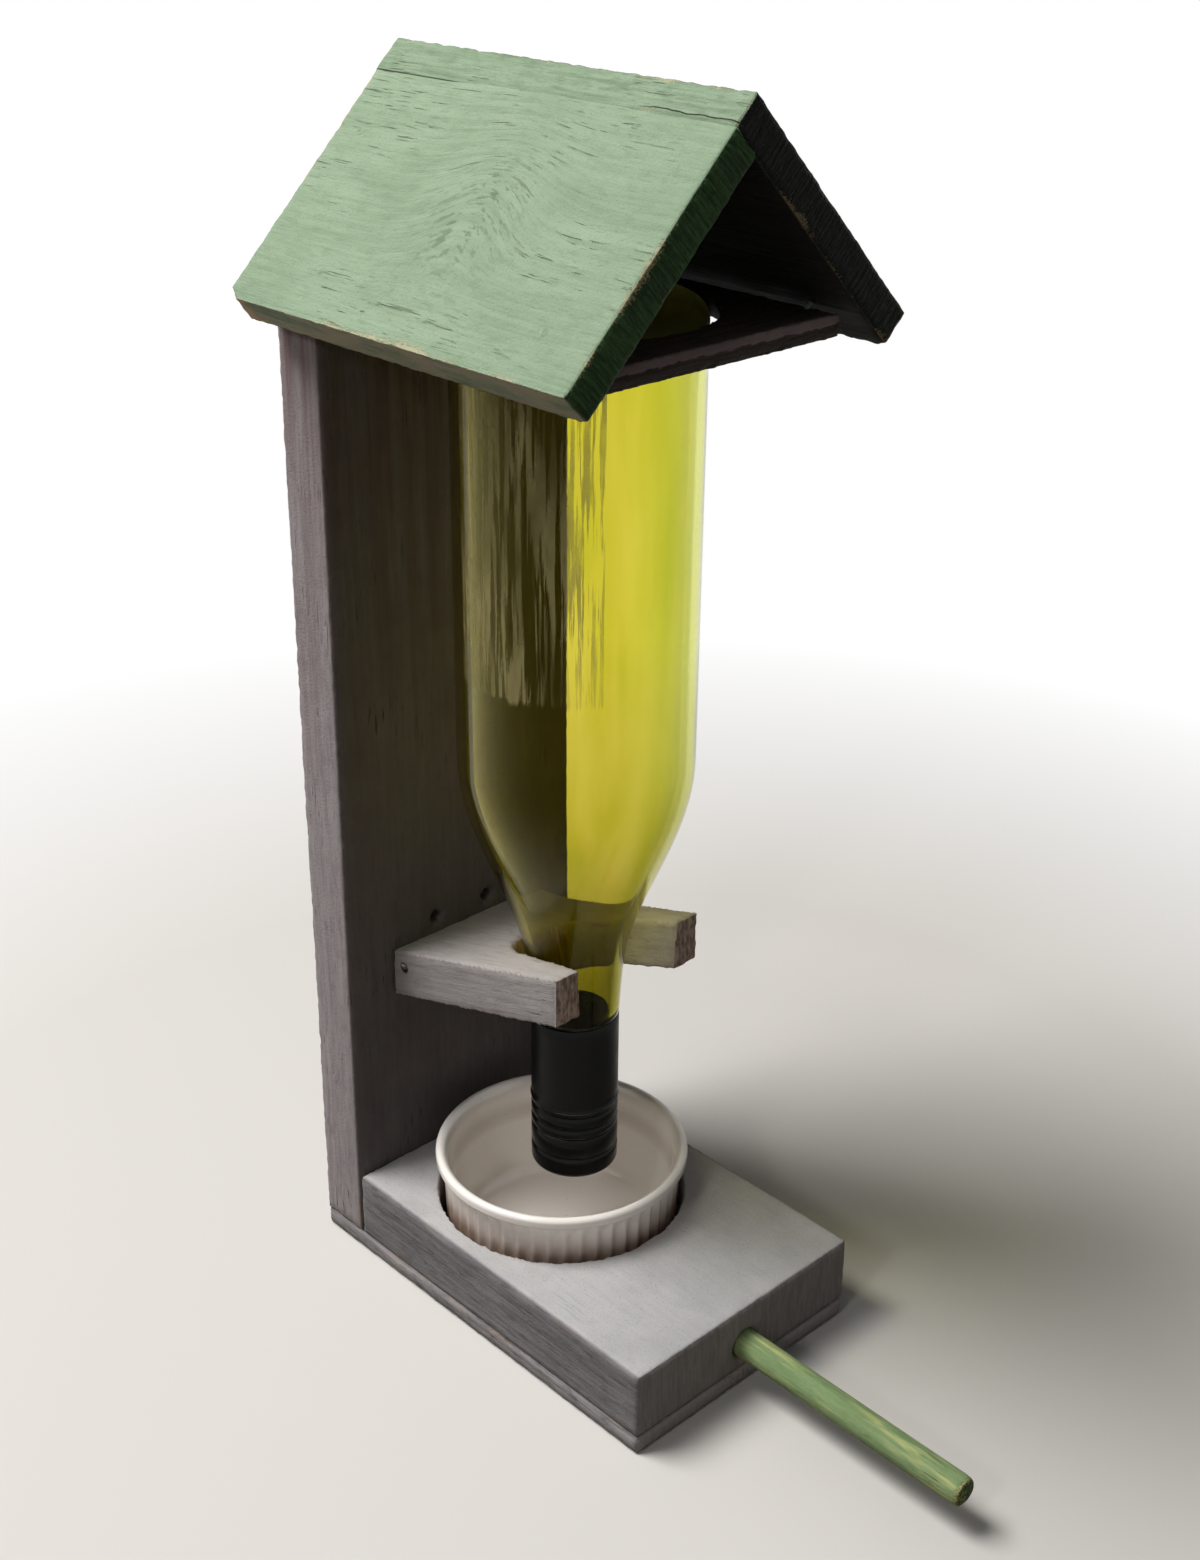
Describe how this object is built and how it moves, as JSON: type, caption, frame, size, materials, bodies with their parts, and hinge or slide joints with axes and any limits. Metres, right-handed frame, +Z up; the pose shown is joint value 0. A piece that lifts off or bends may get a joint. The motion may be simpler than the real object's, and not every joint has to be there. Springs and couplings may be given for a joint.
{
  "type": "bird feeder",
  "caption": "Roofed wooden bird feeder that holds an upturned glass bottle over a fluted dish, with a dowel perch at the front.",
  "frame": {"origin": "middle of the bottom plate's underside", "axes": "+Z up, front and perch towards -Y, +X to the right seen from the front"},
  "size_m": [0.1344, 0.2561, 0.414],
  "materials": {
    "grey_plywood": "brushed grey paint on thin plywood",
    "grey_timber": "brushed grey paint on sawn softwood",
    "bare_plywood": "dark stained plywood with rough edges",
    "green_timber": "sage green paint on rough-sawn softwood",
    "green_dowel": "worn green paint on a softwood dowel",
    "white_glaze": "glossy white glaze",
    "bottle_glass": "clear yellow-green glass",
    "black_closure": "black satin lacquer",
    "cap_plastic": "plain white moulding",
    "cap_foam": "closed-cell foam disc",
    "zinc_steel": "zinc plated"
  },
  "bodies": {
    "stand": {"base_plate": "grey_plywood", "base_block": "grey_timber", "backboard": "grey_timber", "neck_holder": "grey_timber", "ceiling_board": "bare_plywood", "roof_board_left": "green_timber", "roof_board_right": "green_timber", "perch": "green_dowel", "plate_screws": "zinc_steel", "block_screws": "zinc_steel", "holder_screws": "zinc_steel", "holder_brads": "zinc_steel", "roof_brads": "zinc_steel", "ridge_brads": "zinc_steel", "ceiling_brads": "zinc_steel"},
    "dish": {"ramekin": "white_glaze"},
    "bottle": {"bottle": "bottle_glass", "cap_sleeve": "black_closure"},
    "liner": {"cap_liner": "cap_foam"},
    "cap": {"screw_cap": "black_closure", "cap_insert": "cap_plastic"}
  },
  "joints": [
    {"name": "ramekin_lift", "type": "slide", "parent": "stand", "child": "dish", "axis": [0, 0, 1], "range_m": [0, 0.028]},
    {"name": "bottle_swing", "type": "hinge", "parent": "stand", "child": "bottle", "pos_m": [0, 0.04045, 0.341], "axis": [-1, 0, 0], "range_deg": [0, 13]},
    {"name": "cap_travel", "type": "slide", "parent": "bottle", "child": "liner", "axis": [0, 0, -1], "range_m": [0, 0.00725]},
    {"name": "cap_turn", "type": "hinge", "parent": "liner", "child": "cap", "pos_m": [0, 0.00225, 0.0484], "axis": [0, 0, -1], "range_deg": [0, 720]}
  ],
  "couplings": [
    {"joint": "cap_travel", "follows": "cap_turn", "m_per_rad": 0.00057296}
  ]
}
